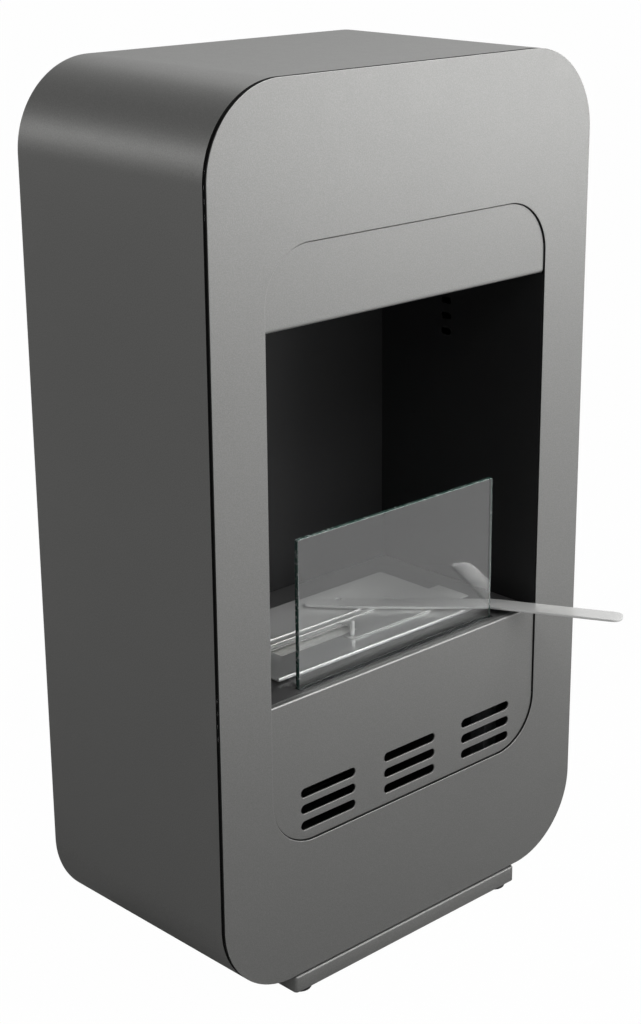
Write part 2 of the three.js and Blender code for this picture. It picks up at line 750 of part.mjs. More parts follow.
function plinthGeometry() {
  const half = plinthWidth / 2;
  const r = plinthRound;
  const corner = 2 * r;
  const outline = roundedOutline(
    -half, half, -plinthProud, plinthDepth - plinthProud, corner, corner, corner, corner,
  );
  const block = new THREE.ExtrudeGeometry(outline, {
    depth: plinthHeight, bevelEnabled: true, bevelThickness: r, bevelSize: r, bevelOffset: -r,
    bevelSegments: 3, curveSegments: 2,
  }).translate(0, 0, -r);
  const under = box(-half - 5, half + 5, -plinthProud - 5, plinthDepth + 5, -plinthHeight, seat);
  const hollow = box(
    -half + plinthSheet, half - plinthSheet, -plinthProud + plinthSheet,
    plinthDepth - plinthProud - plinthSheet, -1, plinthHeight - plinthSheet,
  );
  const stemHoles = footSpots.map(([, x, y]) => stemHole(x, y, plinthHeight + 1));
  return cut(block, under, hollow, ...stemHoles);
}
add('plinth', plinthGeometry(), graphite, plinth);

const spacerThickness = plinthGap - 2 * seat;
function spacerGeometry() {
  return cut(cylinderZ(0, 0, 0, spacerThickness, footRadius, 20), stemHole(0, 0, spacerThickness + 1));
}

const stemTop = cabinetZ + shellWall + seat + nutHeight + 2;
function footGeometry() {
  return turned([
    [0, 0], [footRadius - 1, 0], [footRadius, 1], [footRadius, footHeight],
    [stemRadius, footHeight], [stemRadius, stemTop], [0, stemTop],
  ], 20);
}

function nutGeometry() {
  const corner = nutAcross / Math.sqrt(3);
  const hexagon = new THREE.CylinderGeometry(corner, corner, nutHeight, 6);
  return cut(
    hexagon.rotateX(Math.PI / 2).translate(0, 0, nutHeight / 2),
    stemHole(0, 0, nutHeight + 1),
  );
}
for (const [word, x, y] of footSpots) {
  add(`foot_${word}`, footGeometry(), rubber, fireplace).position.set(x, y, 0);
  const spacerZ = footHeight + plinthHeight + seat;
  add(`foot_spacer_${word}`, spacerGeometry(), black, fireplace).position.set(x, y, spacerZ);
  add(`foot_nut_${word}`, nutGeometry(), zinc).position.set(x, y, shellWall + seat);
}

// Centres the overall box on the origin front to back. The floor stays at z 0.
const overall = new THREE.Box3().setFromObject(fireplace, true);
fireplace.position.y = -(overall.min.y + overall.max.y) / 2;

export default fireplace;
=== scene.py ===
"""A freestanding bioethanol fireplace of powder-coated sheet steel, drawn around its CAD frame.

Lengths are in metres. Most pieces are worked out in the cabinet's own measure, where x is 0 at the
middle, y is 0 at the front plate's face and z is 0 at the cabinet's underside, and are then carried
to their place in the frame. The guide strip, and pieces that ease a frame node's own shape, are
worked out in the frame itself.
"""

import math

import bmesh
import bpy
import numpy as np
from bpy.props import FloatProperty, FloatVectorProperty, IntProperty, PointerProperty
from bpy.types import Operator, Panel, PropertyGroup
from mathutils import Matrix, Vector
from mathutils.geometry import tessellate_polygon


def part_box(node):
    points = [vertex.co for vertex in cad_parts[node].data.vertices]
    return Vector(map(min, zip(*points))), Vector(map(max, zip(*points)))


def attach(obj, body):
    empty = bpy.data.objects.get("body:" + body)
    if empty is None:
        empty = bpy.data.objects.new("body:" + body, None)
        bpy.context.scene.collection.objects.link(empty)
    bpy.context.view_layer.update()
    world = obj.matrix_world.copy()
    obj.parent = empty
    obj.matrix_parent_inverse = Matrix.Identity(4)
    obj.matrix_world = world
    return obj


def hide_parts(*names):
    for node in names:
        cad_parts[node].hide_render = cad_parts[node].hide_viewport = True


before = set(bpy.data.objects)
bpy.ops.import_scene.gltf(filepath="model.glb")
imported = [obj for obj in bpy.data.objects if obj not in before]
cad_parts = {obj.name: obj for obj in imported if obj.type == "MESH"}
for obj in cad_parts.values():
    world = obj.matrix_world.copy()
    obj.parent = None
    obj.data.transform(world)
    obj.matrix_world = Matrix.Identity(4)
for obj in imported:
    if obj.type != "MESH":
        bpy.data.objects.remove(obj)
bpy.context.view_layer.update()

bl_info = {
    "name": "Bioethanol fireplace",
    "version": (1, 0, 0),
    "blender": (4, 5, 0),
    "location": "View3D > Sidebar > Fireplace",
    "description": "Builds the skin, glass, burner and studio of a bioethanol fireplace",
    "category": "Add Mesh",
}

MM = 0.001
PLATE_LOW, PLATE_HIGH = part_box("front_plate")
FRONT_Y = PLATE_LOW.y
BASE_Z = PLATE_LOW.z
HALF_WIDTH = PLATE_HIGH.x
HEIGHT = PLATE_HIGH.z - PLATE_LOW.z

# Wear runs from 0, untouched, to 1, rubbed, and edges are painted lighter with it as a painted
# highlight.
# Below 0 an edge is painted dark, as painted shade in the seams.
SEAM_SHADE = -1.0
EDGE_START_WEAR_AND_HIGHLIGHT = 0.1  # where a sheet's rounding meets its flat
EASED_FLAT_WEAR_AND_HIGHLIGHT = 0.15  # on the flats of an eased piece
FRONT_WEAR_AND_HIGHLIGHT = 0.7  # how much of the edge wear and painted highlight the front plate shows
PANEL_WEAR_AND_HIGHLIGHT = 0.3  # the same for the inset panels, beside their bends
SEAM_SHADE_REACH_SHELL = 0.7  # share of the rounding at the shell's front that is painted dark as seam shade
SEAM_SHADE_REACH_FRONT = 0.8  # share of the rounding at the front plate's face that isn't painted dark as seam shade

WELD = 1e-6  # points nearer than this become one
SUPPORT = 0.35 * MM  # strip beside a rounded edge that keeps the flat's shading flat
CREASE = math.radians(32)  # sharper edges are shaded as edges
SHARP = math.radians(30)  # sharper edges of a frame node are eased
COPLANAR = math.radians(0.4)  # flatter joints of a frame node are joined

SHELL_WALL = 2 * MM
REAR_LIP = 18 * MM  # width of the shell's turned-in lip
REAR_LIP_INSET = 5 * MM  # how far that lip stands in from the shell's back edge
RING_WIDTH = 6 * MM
RING_EDGE = 0.05 * MM
PANEL_SHEET = 2 * MM
UPPER_BEND = 4 * MM
LOWER_BEND = 1.6 * MM
GLASS_CORNER = 2.5 * MM
GLASS_EDGE = 0.7 * MM
GLASS_FACE = 0.1 * MM  # nearer a face than this, the pane's edge isn't ground
GUIDE_WALL = 1 * MM  # raised strip beside the channel, in front
GUIDE_REAR = 1.8 * MM  # the same behind
GUIDE_RADII = (0, 0.2, 0.5, 0.5, 0, 0, 0.3, 0.35, 0, 0)  # in millimetres
CORNERS = ("front_left", "front_right", "rear_left", "rear_right")
LID_EASE = 0.4  # share of the eased edge that the thin lid takes

SHEET_STEPS = 4  # points round a quarter of a sheet's edge
PLATE_STEPS = 6
RING_STEPS = 3
FILLET_STEPS = 5
BEND_STEPS = 9
SLOT_STEPS = 12
GLASS_CORNER_STEPS = 6
BEVEL_STEPS = 3


# ---------- shapes ----------
def rounded_outline(x0, x1, z0, z1, radii, steps):
    """A rectangle with rounded corners, anticlockwise.

    Each corner is its centre plus the radius times (cos a, sin a) through a quarter turn. The
    radii run bottom left, bottom right, top right, top left. A radius of 0 gives one sharp
    point."""
    centres = ((x0, z0, 1, 1), (x1, z0, -1, 1), (x1, z1, -1, -1), (x0, z1, 1, -1))
    parts = []
    for turn, ((cx, cz, sx, sz), r) in enumerate(zip(centres, radii)):
        count = steps if r > 0 else 1
        angle = math.pi + turn * math.pi / 2 + np.linspace(0, math.pi / 2, count)
        x = cx + sx * r + r * np.cos(angle)
        z = cz + sz * r + r * np.sin(angle)
        parts.append(np.column_stack((x, z)))
    return np.vstack(parts)


def obround(cx, cz, length, height, steps):
    """A slot with full round ends: two half circles of half the height, clockwise for a hole."""
    r = height / 2
    reach = length / 2 - r
    right = -math.pi / 2 + np.linspace(0, math.pi, steps)
    left = math.pi / 2 + np.linspace(0, math.pi, steps)
    loop = np.vstack((
        np.column_stack((cx + reach + r * np.cos(right), cz + r * np.sin(right))),
        np.column_stack((cx - reach + r * np.cos(left), cz + r * np.sin(left))),
    ))
    return loop[::-1]


def drawn_in(loop, distance):
    """The outline moved to its left by a distance: each point goes along the sum of its two edges'
    normals over one plus their dot product, which keeps every edge parallel to itself."""
    ahead = np.roll(loop, -1, 0) - loop
    ahead /= np.linalg.norm(ahead, axis=1)[:, None]
    normal = np.column_stack((-ahead[:, 1], ahead[:, 0]))
    before = np.roll(normal, 1, 0)
    blend = normal + before
    blend /= (1 + (normal * before).sum(1))[:, None]
    return loop + distance * blend


def ring_faces(rows, count, close_rows=False):
    """Quads between closed rows of count points: points i and i + 1 of a row and of the next."""
    r = np.arange(rows if close_rows else rows - 1)[:, None]
    i = np.arange(count)[None, :]
    j = (i + 1) % count
    s = (r + 1) % rows
    return np.stack((r * count + i, r * count + j, s * count + j, s * count + i), -1).reshape(-1, 4)


def edge_profile(thickness, edge, steps):
    """Section of a sheet's edge as (drawn in, height) rows and their wear with painted highlight: a
    support point, a quarter circle of radius edge up to the side, another to the top, and a support
    point. Wear is half of one plus sin 2a, so the middle of each rounding is worn most and carries
    the brightest painted highlight."""
    angle = np.linspace(0, math.pi / 2, steps)
    low = np.column_stack((edge * (1 - np.sin(angle)), edge * (1 - np.cos(angle))))
    high = np.column_stack((edge * (1 - np.cos(angle)), thickness - edge * (1 - np.sin(angle))))
    rows = np.vstack(((edge + SUPPORT, 0), low, high, (edge + SUPPORT, thickness)))
    rubbed_and_highlit = np.sin(2 * angle) * 0.5 + 0.5
    wear = np.concatenate(((0,), rubbed_and_highlit, rubbed_and_highlit, (0,)))
    wear[[1, -2]] = EDGE_START_WEAR_AND_HIGHLIGHT
    return rows, wear


def sheet_arrays(loops, thickness, edge, steps=SHEET_STEPS):
    """A flat sheet with rounded edges. Every outline, outer and holes, carries the edge profile,
    and triangles fill between the innermost outlines, below and above."""
    profile, wear = edge_profile(thickness, edge, steps)
    points, wear_and_painted_light_rows, faces, offset = [], [], [], 0
    bottoms, tops, bottom_ids, top_ids = [], [], [], []
    for loop in loops:
        count = len(loop)
        rows = [np.column_stack((drawn_in(loop, d), np.full(count, h))) for d, h in profile]
        points.extend(rows)
        wear_and_painted_light_rows.extend(np.full(count, w) for w in wear)
        faces.extend((ring_faces(len(rows), count) + offset).tolist())
        bottoms.append(rows[0])
        tops.append(rows[-1])
        bottom_ids.append(np.arange(count) + offset)
        top_ids.append(np.arange(count) + offset + (len(rows) - 1) * count)
        offset += len(rows) * count
    for caps, ids, flip in ((bottoms, bottom_ids, True), (tops, top_ids, False)):
        flat = np.concatenate(ids)
        triangles = tessellate_polygon([[Vector((x, y, 0)) for x, y, _ in loop] for loop in caps])
        for triangle in triangles:
            faces.append([int(flat[k]) for k in (triangle[::-1] if flip else triangle)])
    return np.vstack(points), faces, np.concatenate(wear_and_painted_light_rows)


def make_piece(name, node, slot, body, points, faces, wear, place=True):
    """Puts arrays into a mesh, joins doubled points, turns every face outwards, rides it on a body
    and lets it stand for a frame node. Points in the cabinet's measure are carried to their
    place."""
    if place:
        points = points + (0, FRONT_Y, BASE_Z)
    mesh = bpy.data.meshes.new(name)
    mesh.from_pydata(points.tolist(), [], faces if isinstance(faces, list) else faces.tolist())
    mesh.attributes.new("wear", "FLOAT", "POINT").data.foreach_set("value", np.asarray(wear, float))
    shell = bmesh.new()
    shell.from_mesh(mesh)
    bmesh.ops.remove_doubles(shell, verts=shell.verts, dist=WELD)
    bmesh.ops.recalc_face_normals(shell, faces=shell.faces)
    shell.to_mesh(mesh)
    shell.free()
    mesh.polygons.foreach_set("use_smooth", np.ones(len(mesh.polygons), bool))
    mesh.set_sharp_from_angle(angle=CREASE)
    mesh.materials.append(finish_of(slot))
    piece = bpy.data.objects.new(name, mesh)
    bpy.context.scene.collection.objects.link(piece)
    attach(piece, body)
    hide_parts(node)


def upright(points, y):
    """Stands a sheet drawn in (x, z, height) up: its height runs forwards from y."""
    return np.column_stack((points[:, 0], y - points[:, 2], points[:, 1]))


def filleted(corners, radii, steps):
    """A closed polygon with rounded corners, and 1 for each point on an arc. Each arc touches both
    edges at radius over the tangent of half the corner's angle. A point on it is the arc's centre
    plus its first and last radius, weighed by sin((1 - t) sweep) and sin(t sweep) over
    sin(sweep)."""
    corners = np.asarray(corners, float)
    out, curved = [], []
    for i, r in enumerate(radii):
        here, before, after = corners[i], corners[i - 1], corners[(i + 1) % len(corners)]
        if r == 0:
            out.append(here[None])
            curved.append([0])
            continue
        a = (before - here) / np.linalg.norm(before - here)
        b = (after - here) / np.linalg.norm(after - here)
        half = math.acos(np.clip(a @ b, -1, 1)) / 2
        start, end = here + a * r / math.tan(half), here + b * r / math.tan(half)
        centre = here + (a + b) / np.linalg.norm(a + b) * r / math.sin(half)
        u, v = start - centre, end - centre
        sweep = math.pi - 2 * half
        t = np.linspace(0, 1, steps)[:, None]
        arc = centre + (u * np.sin((1 - t) * sweep) + v * np.sin(t * sweep)) / math.sin(sweep)
        out.append(np.vstack((start + a * SUPPORT, arc, end + b * SUPPORT)))
        curved.append([0] + [1] * steps + [0])
    return np.vstack(out), np.concatenate(curved)


def folded(points, faces, wear, bend, corner_y, corner_z, thickness, flange, flip):
    """A flat blank wrapped round a bend. The blank is drawn in (x, s, height), with s running from
    the flange's end through the bend and on up the face. It is cut across at each step of the
    bend. Along the bend a point turns by its s over the neutral radius, at the outer radius less
    its depth; before it the flange runs straight back, and after it the face runs straight up, or
    down where flip is -1. The middle of the bend is worn most and carries a painted highlight."""
    neutral = bend - thickness / 2
    bend_start = flange - bend
    bend_end = bend_start + neutral * math.pi / 2
    blank = bpy.data.meshes.new("blank")
    blank.from_pydata(points.tolist(), [], faces)
    blank.attributes.new("wear", "FLOAT", "POINT").data.foreach_set("value", wear)
    shell = bmesh.new()
    shell.from_mesh(blank)
    bent = np.linspace(bend_start, bend_end, BEND_STEPS)
    for s in (bend_start - SUPPORT, *bent, bend_end + SUPPORT):
        geometry = shell.verts[:] + shell.edges[:] + shell.faces[:]
        bmesh.ops.bisect_plane(
            shell, geom=geometry, dist=WELD / 10, plane_co=(0, s, 0), plane_no=(0, 1, 0),
        )
    shell.to_mesh(blank)
    shell.free()
    flat = np.zeros(len(blank.vertices) * 3)
    blank.vertices.foreach_get("co", flat)
    x, s, height = flat.reshape(-1, 3).T
    wear = np.zeros(len(x), np.float32)
    blank.attributes["wear"].data.foreach_get("value", wear)
    faces = [list(polygon.vertices) for polygon in blank.polygons]
    bpy.data.meshes.remove(blank)
    depth = thickness - height
    turn = np.clip((bend_end - s) / neutral, 0, math.pi / 2)
    y = bend - (bend - depth) * np.cos(turn) + np.maximum(bend_start - s, 0)
    z = bend - (bend - depth) * np.sin(turn) + np.maximum(s - bend_end, 0)
    wear = np.maximum(wear, np.sin(2 * turn))
    return np.column_stack((x, corner_y + y, corner_z + flip * z)), faces, wear


def carried(section, loop_at):
    """A closed section of (drawn in, along) points carried round an outline: every point of the
    section is a whole outline drawn in by its first value, at the height of its second."""
    loops = []
    for inset, along in section:
        loop = loop_at(inset)
        loops.append(np.column_stack((loop, np.full(len(loop), along))))
    return np.vstack(loops), ring_faces(len(section), len(loops[0]), close_rows=True)


def drawn_out(section, x0, x1):
    """A closed section of (y, z) points drawn out from x0 to x1, with a face across each end."""
    count = len(section)
    rows = [np.column_stack((np.full(count, x), section)) for x in (x0, x1)]
    faces = ring_faces(2, count).tolist() + [list(range(count)), list(range(count, 2 * count))]
    return np.vstack(rows), faces


# ---------- finishes ----------
def fill(tree, socket, value):
    """Links another socket to this one, or sets its own value."""
    if isinstance(value, bpy.types.NodeSocket):
        tree.links.new(value, socket)
    else:
        socket.default_value = value


def put(tree, kind, inputs=None, **settings):
    """Adds a shader node, sets its options and fills its sockets."""
    node = tree.nodes.new("ShaderNode" + kind)
    for key, value in settings.items():
        setattr(node, key, value)
    for key, value in (inputs or {}).items():
        fill(tree, node.inputs[key], value)
    return node


def start_material(name):
    """An empty node material, its node tree and its Object coordinates."""
    material = bpy.data.materials.new(name)
    material.use_nodes = True
    tree = material.node_tree
    tree.nodes.clear()
    return material, tree, put(tree, "TexCoord").outputs["Object"]


def close_material(material, surface):
    """Links a surface shader to the material's output."""
    tree = material.node_tree
    tree.links.new(surface.outputs[0], put(tree, "OutputMaterial").inputs[0])
    return material


def wear_and_painted_light_of(tree):
    """The piece's attribute of edge wear and painted light: highlights on rounded edges, and seam
    shade below 0.
    """
    return put(tree, "Attribute", attribute_name="wear").outputs["Fac"]


def noise(tree, vector, scale, detail=2.0, roughness=0.5):
    """Noise from 0 to 1 at a scale in cycles to the metre."""
    inputs = {"Vector": vector, "Scale": scale, "Detail": detail, "Roughness": roughness}
    return put(tree, "TexNoise", inputs).outputs["Fac"]


def remap(tree, value, low, high, to_low, to_high):
    """Carries a range of values linearly onto another, held at its ends."""
    return put(tree, "MapRange", {
        "Value": value, "From Min": low, "From Max": high, "To Min": to_low, "To Max": to_high,
    }).outputs["Result"]


def spread(tree, value, to_low, to_high):
    """Carries the range that noise mostly keeps to, 0.3 to 0.7, onto another."""
    return remap(tree, value, 0.3, 0.7, to_low, to_high)


def mixed(tree, factor, first, second):
    """A colour between two others."""
    mix = put(tree, "Mix", {"Factor": factor}, data_type="RGBA")
    for socket, value in ((mix.inputs[6], first), (mix.inputs[7], second)):
        linked = isinstance(value, bpy.types.NodeSocket)
        fill(tree, socket, value if linked else (*value[:3], 1.0))
    return mix.outputs[2]


def maths(tree, operation, first, second):
    """One operation on two values."""
    return put(tree, "Math", {0: first, 1: second}, operation=operation).outputs[0]


def bumped(tree, height, strength, distance, under=None):
    """A bump from a height, on top of another bump if one is given."""
    inputs = {"Height": height, "Strength": strength, "Distance": distance}
    if under is not None:
        inputs["Normal"] = under
    return put(tree, "Bump", inputs).outputs["Normal"]


def shade(colour, factor):
    """A colour made darker or lighter by a factor."""
    return tuple(min(1.0, channel * factor) for channel in colour[:3])


def powder_coat(name, colour, roughness, metallic, grain=1.0):
    """Powder coat over sheet steel: slow clouding, an orange-peel skin, a fine sparkle in the
    paint, and edges painted lighter and made smoother where wear is high, partly rubbed wear and
    partly a painted highlight. Where wear is below 0, the edge is painted dark and rough, as
    painted shade in the seams."""
    material, tree, at = start_material(name)
    cloud = noise(tree, at, 7.0, 3.0)
    sparkle = noise(tree, at, 850.0, 1.0)
    peel = noise(tree, at, 520.0, 2.0)
    wear = wear_and_painted_light_of(tree)
    scuffs = remap(tree, noise(tree, at, 38.0, 4.0, 0.6), 0.42, 0.66, 0.8, 1.0)
    rubbed_and_highlit = maths(tree, "MULTIPLY", maths(tree, "MAXIMUM", wear, 0.0), scuffs)

    tone = mixed(tree, spread(tree, cloud, 0.0, 1.0), shade(colour, 0.985), shade(colour, 1.015))
    glints = remap(tree, sparkle, 0.35, 0.75, 0.0, 0.5 * grain)
    tone = mixed(tree, glints, tone, shade(colour, 1.5))
    # Edges are painted up to 2.4 times lighter where wear is high: partly rubbed wear, mostly a
    # painted highlight.
    tone = mixed(tree, maths(tree, "MULTIPLY", rubbed_and_highlit, 0.6), tone, shade(colour, 2.4))
    # Below 0 the edge is painted nearly black, as painted shade in the seams, and made rougher.
    seam_shaded = remap(tree, wear, -0.9, -0.1, 1.0, 0.0)
    tone = mixed(tree, seam_shaded, tone, shade(colour, 0.08))

    varied = 0.008
    gloss = spread(tree, noise(tree, at, 60.0, 3.0), roughness - varied, roughness + varied)
    gloss = maths(tree, "SUBTRACT", gloss, maths(tree, "MULTIPLY", rubbed_and_highlit, 0.08))
    gloss = maths(tree, "ADD", gloss, remap(tree, wear, -0.9, -0.1, 0.45, 0.0))
    skin = bumped(tree, peel, 0.10 * grain, 0.6 * MM)
    skin = bumped(tree, sparkle, 0.10 * grain, 0.3 * MM, skin)
    return close_material(material, put(tree, "BsdfPrincipled", {
        "Base Color": tone, "Roughness": gloss, "Normal": skin, "Metallic": metallic,
        "Specular IOR Level": 0.5,
    }))


def brushed_steel(name, colour, roughness, metallic):
    """Steel with a fine straight grain: noise stretched forty times along X."""
    material, tree, at = start_material(name)
    lined = put(tree, "Mapping", {"Vector": at, "Scale": (1 / 40, 1.0, 1.0)}).outputs["Vector"]
    grain = noise(tree, lined, 1400.0, 3.0, 0.6)
    cloud = noise(tree, at, 16.0, 4.0)
    tone = mixed(tree, spread(tree, grain, 0.0, 1.0), shade(colour, 0.99), shade(colour, 1.01))
    tone = mixed(tree, remap(tree, cloud, 0.45, 0.7, 0.0, 0.3), tone, shade(colour, 0.95))
    # Eased edges are painted lighter: a painted highlight, partly wear.
    tone = mixed(tree, maths(tree, "MULTIPLY", wear_and_painted_light_of(tree), 0.4), tone, shade(colour, 1.3))
    gloss = spread(tree, grain, roughness - 0.01, roughness + 0.015)
    return close_material(material, put(tree, "BsdfPrincipled", {
        "Base Color": tone, "Roughness": gloss, "Metallic": metallic,
        "Normal": bumped(tree, grain, 0.008, 0.1 * MM),
    }))


def clear_glass(name, tint, edge_tint):
    """Clear toughened glass with green ground edges that sparkle, and faint wiping marks."""
    material, tree, at = start_material(name)
    wear = wear_and_painted_light_of(tree)
    glints = remap(tree, noise(tree, at, 260.0, 3.0), 0.54, 0.64, 0.0, 0.5)
    edges = mixed(tree, glints, edge_tint, tint)
    tone = mixed(tree, maths(tree, "MINIMUM", wear, 1.0), tint, edges)
    wiped = put(tree, "Mapping", {"Vector": at, "Scale": (1.0, 1.0, 0.15)}).outputs["Vector"]
    haze = remap(tree, noise(tree, wiped, 60.0, 3.0), 0.4, 0.8, 0.0, 0.25)
    tone = mixed(tree, haze, tone, shade(tint, 0.97))
    gloss = maths(tree, "MULTIPLY", maths(tree, "GREATER_THAN", wear, 0.5), 0.12)
    grind = maths(tree, "MULTIPLY", noise(tree, at, 900.0, 2.0), wear)
    return close_material(material, put(tree, "BsdfPrincipled", {
        "Base Color": tone, "Roughness": gloss, "IOR": 1.6,
        "Normal": bumped(tree, grind, 0.06, 0.3 * MM),
        "Transmission Weight": remap(tree, wear, 0.5, 0.9, 1.0, 0.45),
    }))


def spangled_zinc(name, colour, roughness):
    """Galvanised steel: crystal patches from Voronoi cells, each its own grey and gloss."""
    material, tree, at = start_material(name)
    cells = put(tree, "TexVoronoi", {"Vector": at, "Scale": 160.0, "Randomness": 1.0})
    grey = put(tree, "SeparateColor", {"Color": cells.outputs["Color"]}).outputs[0]
    fine = noise(tree, at, 700.0, 2.0)
    varied = 0.08
    return close_material(material, put(tree, "BsdfPrincipled", {
        "Base Color": mixed(tree, grey, shade(colour, 0.85), shade(colour, 1.12)),
        "Roughness": remap(tree, grey, 0.0, 1.0, roughness - varied, roughness + varied),
        "Metallic": 0.9, "Normal": bumped(tree, fine, 0.1, 0.2 * MM),
    }))


def fibre_wool(name, colour):
    """Ceramic fibre wool: long soft noise strands over a fine felted bump."""
    material, tree, at = start_material(name)
    strands = put(tree, "Mapping", {
        "Vector": at, "Rotation": (0.0, 0.0, 0.5), "Scale": (0.3, 1.0, 1.0),
    }).outputs["Vector"]
    tufts = noise(tree, strands, 260.0, 5.0, 0.65)
    lumps = noise(tree, at, 45.0, 3.0)
    felt = bumped(tree, lumps, 0.6, 3 * MM)
    felt = bumped(tree, tufts, 0.8, 1.2 * MM, felt)
    return close_material(material, put(tree, "BsdfPrincipled", {
        "Base Color": mixed(
            tree, spread(tree, tufts, 0.0, 1.0), shade(colour, 0.8), shade(colour, 1.05),
        ),
        "Roughness": 0.95, "Normal": felt, "Sheen Weight": 0.3,
    }))


def moulded_rubber(name, colour):
    """Matt rubber with a fine moulded grain and dusty patches."""
    material, tree, at = start_material(name)
    grain = noise(tree, at, 900.0, 2.0)
    dust = noise(tree, at, 90.0, 4.0)
    dusty = remap(tree, dust, 0.45, 0.75, 0.0, 0.5)
    return close_material(material, put(tree, "BsdfPrincipled", {
        "Base Color": mixed(tree, dusty, colour, shade(colour, 2.5)),
        "Roughness": spread(tree, dust, 0.75, 0.9),
        "Normal": bumped(tree, grain, 0.2, 0.3 * MM),
    }))


FINISHES = {}


def finish_of(slot):
    """The material of a record slot, made once from the colours in the panel."""
    if slot not in FINISHES:
        c = bpy.context.scene.fireplace_colours
        makers = {
            "graphite": (powder_coat, "graphite_coat", {
                "colour": c.graphite, "roughness": 0.42, "metallic": 0.45,
            }),
            # The shell's coat is the graphite paint made a little darker, as painted shade on the
            # sides and the back.
            "shell_graphite": (powder_coat, "shell_coat", {
                "colour": c.shell, "roughness": 0.45, "metallic": 0.45,
            }),
            "dark_steel": (powder_coat, "dark_steel_coat", {
                "colour": c.dark_steel, "roughness": 0.45, "metallic": 0.5, "grain": 0.8,
            }),
            "matt_black": (powder_coat, "stove_black", {
                "colour": c.matt_black, "roughness": 0.62, "metallic": 0.0, "grain": 0.25,
            }),
            "polished_steel": (brushed_steel, "satin_steel", {
                "colour": c.steel, "roughness": 0.24, "metallic": 0.45,
            }),
            "zinc": (spangled_zinc, "zinc_plate", {"colour": c.zinc, "roughness": 0.42}),
            "ceramic_fibre": (fibre_wool, "ceramic_wool", {"colour": c.fibre}),
            "clear_glass": (clear_glass, "clear_glass", {
                "tint": c.glass, "edge_tint": c.glass_edge,
            }),
            "rubber": (moulded_rubber, "foot_rubber", {"colour": c.rubber}),
        }
        maker, name, settings = makers[slot]
        FINISHES[slot] = maker(name, **settings)
    return FINISHES[slot]


# ---------- settings ----------
def length(name, description, millimetres):
    """A size in the panel, given here in millimetres."""
    return FloatProperty(
        name=name, description=description, default=millimetres * MM, unit="LENGTH", precision=5,
    )


def colour(name, description, value):
    """A colour in the panel, scene linear."""
    return FloatVectorProperty(
        name=name, description=description, default=value, subtype="COLOR", size=3,
        min=0.0, max=1.0,
    )


def power(name, description, watts):
    """A lamp's power in the panel."""
    return FloatProperty(name=name, description=description, default=watts, min=0.0, unit="POWER")


def share(name, description, value):
    """A share from 0 to 1 in the panel."""
    return FloatProperty(
        name=name, description=description, default=value, min=0.0, max=1.0, subtype="FACTOR",
    )


class FireplaceSizes(PropertyGroup):
    """Sizes of the visible pieces."""
    corner_radius: length("Corner radius", "Outer radius of the cabinet's corners", 88)
    sheet_edge: length("Sheet edge", "Rounding of the coated sheets' edges", 0.55)
    plate_thickness: length("Plate thickness", "Thickness of the front plate", 2)
    plate_edge: length("Plate edge", "Rounding of the front plate's edges", 0.5)
    panel_gap: length("Panel gap", "Gap between the inset panels and the window's edge", 0.8)
    eased: length("Eased edge", "Rounding of small pieces' edges", 0.35)
    guide_reach: length("Guide reach", "How far the guide strip reaches over the lid", 3.6)
    guide_cover: length("Guide cover", "Thickness of the guide strip over the lid", 0.8)
    guide_channel: length("Guide channel", "Depth of the channel along the guide strip", 1.2)
    window_radius: length("Window radius", "Corner radius of the front plate's window", 56)
    window_half: length("Window half width", "Half the width of the front plate's window", 194.5)
    window_low: length("Window low", "Lower edge of the window above the cabinet's underside", 147)
    window_high: length(
        "Window high", "Upper edge of the window above the cabinet's underside", 754.5,
    )
    slot_length: length("Slot length", "Length of an air slot", 76)
    slot_height: length("Slot height", "Height of an air slot", 10.1)
    slot_pitch_across: length("Slot pitch across", "Distance between the groups of slots", 117.5)
    slot_pitch_up: length("Slot pitch up", "Distance between the slots of a group", 18)
    slot_middle: length("Slot middle", "Height of the middle slots", 182.3)
    corner_steps: IntProperty(
        name="Corner steps", description="Points in each large corner", default=33, min=5,
    )


class FireplaceColours(PropertyGroup):
    """Colours of the finishes."""
    graphite: colour(
        "Graphite", "Powder coat of the front, the panels and the plinth", (0.20, 0.20, 0.195),
    )
    # The graphite colour made a little darker, as painted shade on the shell's sides and the back.
    shell: colour("Shell", "Powder coat of the shell and the back", (0.18, 0.18, 0.175))
    dark_steel: colour("Dark steel", "Coat of the hearth plate", (0.10, 0.10, 0.10))
    matt_black: colour("Matt black", "Heat-proof paint of the firebox", (0.009, 0.009, 0.0095))
    steel: colour("Steel", "Polished steel of the burner", (0.78, 0.78, 0.77))
    zinc: colour("Zinc", "Plated fixings and brackets", (0.42, 0.43, 0.44))
    fibre: colour("Fibre", "Ceramic fibre in the tank", (0.92, 0.91, 0.88))
    glass: colour("Glass", "Tint of the pane", (0.97, 0.985, 0.98))
    glass_edge: colour("Glass edge", "Tint of the pane's edges", (0.10, 0.22, 0.18))
    rubber: colour("Rubber", "Feet", (0.02, 0.02, 0.02))


class FireplaceStudio(PropertyGroup):
    """Levels of the studio's light."""
    key: power("Key", "Power of the lamp in front on the right", 18.5)
    head: power("Head", "Power of the strip above the front", 20.0)
    top: power("Top", "Power of the lamp overhead", 8.0)
    fill: power("Fill", "Power of the lamp on the left", 5.5)
    rim: power("Rim", "Power of the strip behind on the left", 9.0)
    ambient: share("Ambient", "Strength of the world's soft light", 0.2)
    floor_white: share("Floor white", "How white the floor shows, whatever light falls on it", 0.99)
    floor_mirrored: share("Floor mirrored", "How white the far floor shows in reflections", 1.0)
    side_dark: share("Side dark", "What reflections see of the surround behind the left side", 0.1)


# ---------- pieces ----------
def cabinet_loop(sizes, inset):
    """The cabinet's outline drawn in by a distance, its corner radius less by as much."""
    r = sizes.corner_radius - inset
    return rounded_outline(
        -HALF_WIDTH + inset, HALF_WIDTH - inset, inset, HEIGHT - inset, (r,) * 4,
        sizes.corner_steps,
    )


